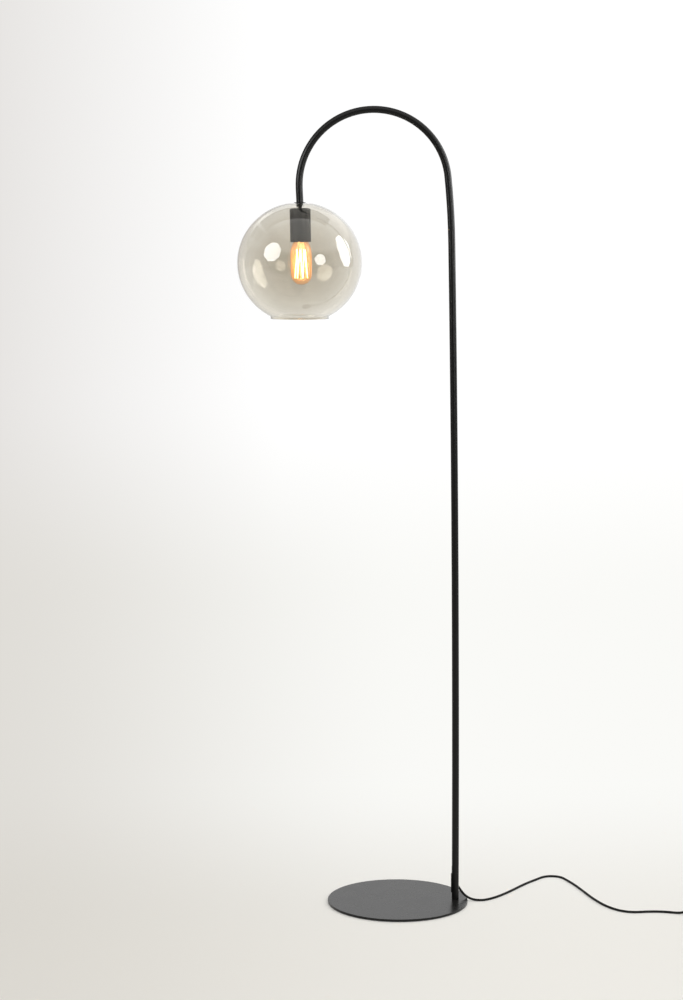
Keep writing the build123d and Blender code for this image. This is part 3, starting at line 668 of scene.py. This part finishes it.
@dataclass
class Filament:
    """The hot wire that runs up and down between two crowns of hooks, as wide as it glows.

    It leans with the head, and its heights are from the place where the head hangs from the tube's end.
    Sizes are in millimetres and the tilt is in degrees. A strand's tips are narrower: the tip's share is of
    its thickness, and the tip's length is a share of the strand's.
    """

    head: Point = (-207.54, 0.0, 1495.0)
    tilt: float = -1.2
    top: float = -98.0
    bottom: float = -158.0
    top_radius: float = 9.0
    bottom_radius: float = 14.0
    loops: int = 7
    thickness: float = 0.65
    sides: int = 10
    tip_share: float = 0.3
    tip_length: float = 0.004

    def hooks(self) -> Array:
        """Gives the hooks that the wire runs over, on the upper and the lower crown by turns."""
        number = np.arange(self.loops)
        crowns = ((self.top_radius, self.top, 0.0), (self.bottom_radius, self.bottom, 0.5))
        both = []
        for radius, height, shift in crowns:
            angle = 2 * np.pi * (number + shift) / self.loops
            both.append(np.stack([radius * np.cos(angle), radius * np.sin(angle), height + 0 * angle], -1))
        x, y, z = np.stack(both, 1).reshape(-1, 3).T
        tilt = math.radians(self.tilt)
        leaning = [x * math.cos(tilt) + z * math.sin(tilt), y, z * math.cos(tilt) - x * math.sin(tilt)]
        return np.stack(leaning, -1) + np.array(self.head)

    def stations(self) -> list[Span]:
        """Gives the places along a strand where its width changes, as shares of its length and its width."""
        return [
            (0.0, self.tip_share),
            (self.tip_length, 1.0),
            (1 - self.tip_length, 1.0),
            (1.0, self.tip_share),
        ]

    def build(self, materials: dict[str, bpy.types.Material]) -> None:
        """Makes the strands: each is a tube from one hook to the next, with narrower tips."""
        hooks = self.hooks()
        start = hooks[:-1]
        run = hooks[1:] - start
        way = run / np.linalg.norm(run, axis=1, keepdims=True)
        side = np.cross(way, [0.0, 1.0, 0.0])
        side /= np.linalg.norm(side, axis=1, keepdims=True)
        other = np.cross(way, side)
        angle = np.linspace(0, 2 * np.pi, self.sides, endpoint=False)[None, :, None]
        circle = self.thickness * (np.cos(angle) * side[:, None] + np.sin(angle) * other[:, None])
        rings = []
        for share, size in self.stations():
            rings.append(start[:, None] + share * run[:, None] + size * circle)
        points = np.stack(rings, 1)
        around = grid_faces(len(rings), self.sides, False, True)
        last_ring = (len(rings) - 1) * self.sides
        caps = [np.arange(self.sides)[::-1], np.arange(self.sides) + last_ring]
        one = around.tolist() + [cap.tolist() for cap in caps]
        step = len(rings) * self.sides
        faces = [[corner + strand * step for corner in face] for strand in range(len(start)) for face in one]
        slot = "filament"
        made = make_piece("glowing_strands", points * MM, faces, materials[slot], Body.BULB)
        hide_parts("bulb_filament")


# ---- Cord -----------------------------------------------------------------------------------


@dataclass
class Flex:
    """The round two-core flex, from the outlet through the foot switch to its coil and plug, in metres."""

    diameter: float = 0.0052
    squeeze: float = 0.015
    section_sides: int = 18
    run_length: float = 0.773
    end_length: float = 1.04
    coil_x: float = 0.772
    coil_radius: float = 0.03735
    coil_pitch: float = 0.007
    coil_half_turns: int = 5
    steps_per_half_turn: int = 8
    coil_low: float = 0.0035
    coil_rise: float = 0.0058
    plug_x: float = 0.734
    plug_z: float = 0.00685
    ring_step: float = 0.0016
    curve_order: int = 3
    curve_steps: int = 12
    exits: list[Point] = field(default_factory=lambda: [RUN_ROUTE[0], (0.732, SWITCH_Y, PARTING)])

    def section(self) -> Array:
        """Gives the flex's outline: a circle that the two cores inside press out a little to the sides.

        Returns:
            Level and upright offsets, in metres.
        """
        angle = np.linspace(0, 2 * np.pi, self.section_sides, endpoint=False)
        radius = self.diameter / 2 * (1 - self.squeeze + self.squeeze * np.cos(2 * angle))
        return np.stack([radius * np.cos(angle), radius * np.sin(angle)], -1)

    def coil_points(self) -> list[Point]:
        """Gives the coil's points: half circles that shrink, climb a layer at the middle, and grow again.

        Returns:
            The coil's points in order, in metres.
        """
        last = 2 * self.coil_half_turns + 1
        centre_y = SWITCH_Y + self.coil_radius
        step = np.arange(last * self.steps_per_half_turn + 1) / self.steps_per_half_turn
        half_turn = np.minimum(step.astype(int), last - 1)
        along = step - half_turn
        turns = np.arange(last + 1)
        radius_at = self.coil_radius - np.minimum(turns, last - turns) * self.coil_pitch / 2
        first, second = radius_at[half_turn], radius_at[half_turn + 1]
        side = np.where(half_turn % 2, 1.0, -1.0)
        middle_y = centre_y + side * (first - second) / 2
        outward = 1.0 / math.cos(math.pi / self.steps_per_half_turn / 2)
        radius = (first + second) / 2 * outward
        x = self.coil_x - side * radius * np.sin(np.pi * along)
        y = middle_y + side * radius * np.cos(np.pi * along)
        climb = np.clip(step - self.coil_half_turns, 0, 1)
        z = self.coil_low + self.coil_rise * climb
        return [tuple(float(v) for v in point) for point in np.stack([x, y, z], -1)]

    def end_route(self) -> list[Point]:
        """Gives the whole route from the foot switch through the coil to the plug."""
        exit_y = SWITCH_Y + 2 * self.coil_radius
        straight = self.coil_x - self.diameter
        high = self.coil_low + self.coil_rise
        lead = [
            self.exits[1],
            (0.7435, SWITCH_Y, PARTING),
            (0.7555, SWITCH_Y, self.coil_low),
            (straight, SWITCH_Y, self.coil_low),
        ]
        tail = [
            (straight, exit_y, high),
            (0.756, exit_y, high),
            (0.745, exit_y, self.plug_z),
            (self.plug_x, exit_y, self.plug_z),
        ]
        return lead + self.coil_points() + tail

    def centreline(self, name: str, route: list[Point]) -> Array:
        """Reads the smooth line that a route's points steer.

        Args:
            name: A name for the curve while it is read.
            route: The route's points.

        Returns:
            Points along the line at an even step.
        """
        curve = bpy.data.curves.new(name, "CURVE")
        curve.dimensions = "3D"
        spline = curve.splines.new("NURBS")
        spline.points.add(len(route) - 1)
        spline.points.foreach_set("co", np.hstack([np.array(route), np.ones((len(route), 1))]).ravel())
        spline.order_u = self.curve_order
        spline.use_endpoint_u = True
        spline.resolution_u = self.curve_steps
        guide = bpy.data.objects.new(name, curve)
        bpy.context.scene.collection.objects.link(guide)
        mesh = bpy.data.meshes.new_from_object(guide)
        line = np.array([vertex.co for vertex in mesh.vertices])
        bpy.data.objects.remove(guide)
        bpy.data.meshes.remove(mesh)
        run = np.concatenate([[0], np.cumsum(np.linalg.norm(np.diff(line, axis=0), axis=1))])
        even = np.linspace(0, run[-1], int(run[-1] / self.ring_step) + 1)
        return np.stack([np.interp(even, run, line[:, k]) for k in range(3)], -1)

    def lay(
        self, name: str, route: list[Point], material: bpy.types.Material
    ) -> tuple[bpy.types.Object, Array]:
        """Makes one length of the flex.

        Args:
            name: The piece's name.
            route: The route's points.
            material: The flex's finish.

        Returns:
            The piece and the points that it follows.
        """
        line = self.centreline(name + "_guide", route)
        points, faces = carried(line, self.section())
        return make_piece(name, points, faces, material, Body.STAND), line

    def build(self, materials: dict[str, bpy.types.Material]) -> None:
        """Makes both lengths of the flex."""
        run, run_line = self.lay("flex_run", RUN_ROUTE, materials["flex"])
        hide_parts("cord_run")
        end, end_line = self.lay("flex_end", self.end_route(), materials["flex"])
        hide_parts("cord_lead", "cord_coil", "cord_tail")


# ---- Studio ---------------------------------------------------------------------------------


@dataclass
class Camera:
    """The camera, where the photograph was taken. Its pitch is in degrees below level."""

    place: Point = VIEWPOINT
    pitch: float = 5.3
    focal_length: float = 84.007
    sensor_width: float = 36.0
    rise: float = -0.0626
    reach: float = 60.0

    def build(self) -> None:
        """Sets the camera up."""
        lens = bpy.data.cameras.new("camera")
        lens.lens = self.focal_length
        lens.sensor_width = self.sensor_width
        lens.shift_y = self.rise
        lens.clip_end = self.reach
        made = bpy.data.objects.new("camera", lens)
        made.location = self.place
        made.rotation_euler = (math.radians(90 - self.pitch), 0, 0)
        bpy.context.scene.collection.objects.link(made)
        bpy.context.scene.camera = made


@dataclass
class PaperSweep:
    """The sheet of paper under and behind the lamp: pale and matt near it, and glowing with painted light
    further back, which stands in for paper lit from behind.

    The backdrop's painted light fans out from a viewpoint and is darker to the left: its spans, across and
    up, are offsets from the viewpoint for each metre of distance. The floor's spans are places, in metres;
    near the lamp, the floor's colour holds painted shade, darker to the left, under a faint painted glow.
    Over each span,
    one tone or brightness turns into the next. Far in front, the floor is dim where it is seen as a
    reflection:
    a painted dark reflection.
    """

    viewpoint: Point = VIEWPOINT
    nearest: float = 0.5
    bend: float = 1.2
    back: float = 7.4
    top: float = 5.1
    front: float = -14.0
    flat_start: float = -1.0
    half_width: float = 14.0
    columns: int = 41
    flat_rows: int = 20
    bend_rows: int = 32
    # Painted light that the backdrop gives out itself: upper tones, then lower tones, each darker to the
    # left.
    lit_left: Point = (0.64, 0.61, 0.58)
    lit_right: Point = (1.03, 1.03, 1.03)
    lit_across: Span = (-0.232, -0.026)
    low_light_left: Point = (0.74, 0.72, 0.68)
    low_light_right: Point = (0.955, 0.955, 0.93)
    low_light_across: Span = (-0.168, 0.046)
    low_light_up: Span = (-0.069, -0.169)
    # Painted shade: the floor's colour darkens to the left.
    floor_shade_left: Point = (0.655, 0.638, 0.60)
    floor_shade_right: Point = (0.795, 0.782, 0.745)
    floor_shade_across: Span = (-1.1, 0.5)
    # Painted dark reflection: the floor far in front takes this colour only where reflections see it.
    floor_dark_reflection: Point = (0.16, 0.158, 0.15)
    dark_reflection_from: Span = (-1.8, -4.5)
    # Painted light: near the lamp the floor gives out a faint glow; over the next span it turns into paper
    # that gives out its full light, with no colour of its own.
    floor_glow: float = 0.12
    lit_from: Span = (-0.4, 1.1)

    def material(self) -> bpy.types.Material:
        """Builds the paper's material."""
        made = Recipe("pale_paper")
        x, y, z = made.apart(made.place())
        view_x, view_y, view_z = self.viewpoint
        away = made.number("MAXIMUM", made.number("SUBTRACT", y, view_y), self.nearest)
        across = made.number("DIVIDE", made.number("SUBTRACT", x, view_x), away)
        up = made.number("DIVIDE", made.number("SUBTRACT", z, view_z), away)
        # Painted light, given out by the paper: darker to the left, in other tones lower down.
        lit = made.blend(made.ramp(across, self.lit_across, "LINEAR"), self.lit_left, self.lit_right)
        low = made.blend(made.ramp(across, self.low_light_across), self.low_light_left, self.low_light_right)
        # Painted shade in the floor's colour, darker to the left.
        floor = made.blend(made.ramp(x, self.floor_shade_across), self.floor_shade_left, self.floor_shade_right)
        # Painted dark reflection: reflections see the floor far in front darker.
        reflected = made.node("LightPath").outputs["Is Glossy Ray"]
        dim = made.product(made.ramp(y, self.dark_reflection_from), reflected)
        depth = made.ramp(y, self.lit_from)
        near = made.blend(dim, floor, self.floor_dark_reflection)
        # The paper's colour fades to black further back, where its painted light grows from a faint glow to
        # full.
        made.steer("Base Color", made.blend(depth, near, (0.0, 0.0, 0.0)))
        made.steer("Emission Color", made.blend(made.ramp(up, self.low_light_up), lit, low))
        made.steer("Emission Strength", made.ramp(depth, (0.0, 1.0), "LINEAR", (self.floor_glow, 1.0)))
        made.set(Roughness=0.9, Specular_IOR_Level=0.0)
        return made.material

    def build(self) -> None:
        """Makes the floor and backdrop as one sheet that bends up in a quarter circle."""
        angle = np.linspace(0, np.pi / 2, self.bend_rows + 1)[1:]
        bend_start = self.back - self.bend
        flat = np.linspace(self.flat_start, bend_start, self.flat_rows)
        y = np.concatenate([[self.front], flat, bend_start + self.bend * np.sin(angle), [self.back]])
        z = np.concatenate([[0.0], 0 * flat, self.bend * (1 - np.cos(angle)), [self.top]])
        x = np.linspace(-self.half_width, self.half_width, self.columns)
        points = np.stack([x[:, None] + 0 * y, y + 0 * x[:, None], z + 0 * x[:, None]], -1)
        faces = grid_faces(len(x), len(y), False, False)
        make_mesh("paper_sweep", points, faces.tolist(), self.material())


@dataclass
class Room:
    """The room that the lamp's surfaces reflect: how bright each direction is.

    It is dim at eye level, bright above, bright behind the lamp, and dark in a strip overhead that a narrow
    gap interrupts. Where it is seen itself, past the paper's edges, it is pale. A direction's three parts say
    how far it goes across to the right, deep behind the lamp, and high. Each span is one edge of the light or
    the dark, met by one of those parts, or by the part across or deep for each part high.
    """

    colour: Point = (1.0, 0.99, 0.97)
    eye_level: float = 0.12
    ceiling: float = 1.45
    pale: float = 0.93
    least_high: float = 0.05
    strip_left: Span = (-1.85, -1.75)
    strip_right: Span = (0.69, 0.62)
    gap_left: Span = (-1.13, -1.09)
    gap_right: Span = (-0.95, -0.99)
    strip_front: Span = (0.09, 0.15)
    strip_back: Span = (1.02, 0.90)
    strip_skew: float = 0.35
    overhead: Span = (0.2, 0.45)
    far_left: Span = (-0.4, -0.7)
    far_left_loss: float = 0.6
    behind: Span = (0.74, 0.80)

    def build(self) -> None:
        """Makes the room's light."""
        world = bpy.data.worlds.new("studio_room")
        world.use_nodes = True
        bpy.context.scene.world = world
        made = Nodes(world.node_tree)
        across, deep, high = made.apart(made.node("TexCoord").outputs["Generated"])
        height = made.number("MAXIMUM", high, self.least_high)
        slope = made.number("DIVIDE", across, height)
        deep_slope = made.number("DIVIDE", deep, height)
        back = made.number("ADD", deep_slope, made.product(slope, self.strip_skew))
        gap = made.product(made.ramp(slope, self.gap_left), made.ramp(slope, self.gap_right))
        strip = made.product(
            made.ramp(slope, self.strip_left),
            made.ramp(slope, self.strip_right),
            made.number("SUBTRACT", 1.0, gap),
            made.ramp(deep, self.strip_front),
            made.ramp(back, self.strip_back),
        )
        beside_strip = made.number("SUBTRACT", self.ceiling, made.product(strip, self.ceiling))
        loss = made.product(made.ramp(across, self.far_left), self.far_left_loss)
        left_share = made.number("SUBTRACT", 1.0, loss)
        upper = made.product(made.ramp(high, self.overhead), left_share, beside_strip)
        light = made.number("MAXIMUM", upper, made.ramp(deep, self.behind))
        light = made.number("MAXIMUM", light, self.eye_level)
        ray = made.node("LightPath").outputs
        seen = made.number("MAXIMUM", ray["Is Camera Ray"], ray["Is Transmission Ray"])
        light = made.number("MAXIMUM", light, made.product(seen, self.pale))
        background = world.node_tree.nodes["Background"]
        made.join(light, background.inputs["Strength"])
        background.inputs["Color"].default_value = (*self.colour, 1.0)


@dataclass(frozen=True)
class SoftBox:
    """An eight-sided glowing panel that faces the globe and shows only as a reflection.

    Its distance from the globe and its height are in metres. Its width is a share of its height.
    """

    name: str
    toward: Point
    distance: float
    size: float
    strength: float
    width: float = 1.0
    corners: int = 8

    def build(self) -> None:
        """Makes the panel."""
        globe = Vector((GLOBE_X * MM, 0.0, GLOBE_Z * MM))
        way = Vector(self.toward).normalized()
        turn = way.to_track_quat("Z", "Y").to_matrix()
        angle = (np.arange(self.corners) + 0.5) * 2 * np.pi / self.corners
        flat = np.stack([self.width * np.cos(angle), np.sin(angle), 0 * angle], -1) * self.size / 2
        points = flat @ np.array(turn).T + np.array(globe + way * self.distance)
        glow = Recipe(self.name + "_glow")
        glow.set(Base_Color=(0, 0, 0, 1), Emission_Color=(1, 1, 1, 1), Emission_Strength=self.strength)
        made = make_mesh(self.name, points, [list(range(self.corners))], glow.material)
        made.visible_camera = False
        made.visible_diffuse = False
        made.visible_shadow = False


SOFT_BOXES = (
    SoftBox("octagon_left", (-0.740, -0.585, 0.332), 1.85, 1.12, 9.0),
    SoftBox("octagon_right", (0.619, -0.776, 0.118), 2.95, 1.1, 9.0),
    SoftBox("octagon_side", (0.9595, 0.063, 0.276), 1.37, 1.12, 8.0, 0.71),
)


def build_studio() -> None:
    """Sets up the camera and everything that lights the lamp."""
    bpy.context.scene.view_settings.view_transform = "Standard"
    for stage_piece in (Camera(), PaperSweep(), Room(), *SOFT_BOXES):
        stage_piece.build()


# ---- Carried-over nodes -----------------------------------------------------------------------


def dress_nodes(materials: dict[str, bpy.types.Material]) -> None:
    """Gives every node of the model its finish; the rod and the nut that clamp the globe look blackened.

    Args:
        materials: The finished materials by slot.
    """
    slot_of = {entry["node"]: entry["material_slot"] for entry in frame["record"]["subparts"]}
    blackened = ("threaded_nipple", "clamp_nut")
    for name, node in frame["nodes"].items():
        material = materials["black_screw" if name in blackened else slot_of[name]]
        for material_slot in node.material_slots:
            material_slot.material = material
        log.info("%s wears %s", name, material.name)


def let_spring_give() -> None:
    """Gives the switch's spring a mesh of its own."""
    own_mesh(frame["nodes"]["switch_spring"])


def main() -> None:
    """Builds the lamp's pieces and the studio."""
    logging.basicConfig(level=logging.INFO)
    materials = {slot: finish.material() for slot, finish in FINISHES.items()}
    dress_nodes(materials)
    let_spring_give()
    build_studio()
    for assembly in (Flex(), Globe(), Filament()):
        assembly.build(materials)


if __name__ == "__main__":
    main()
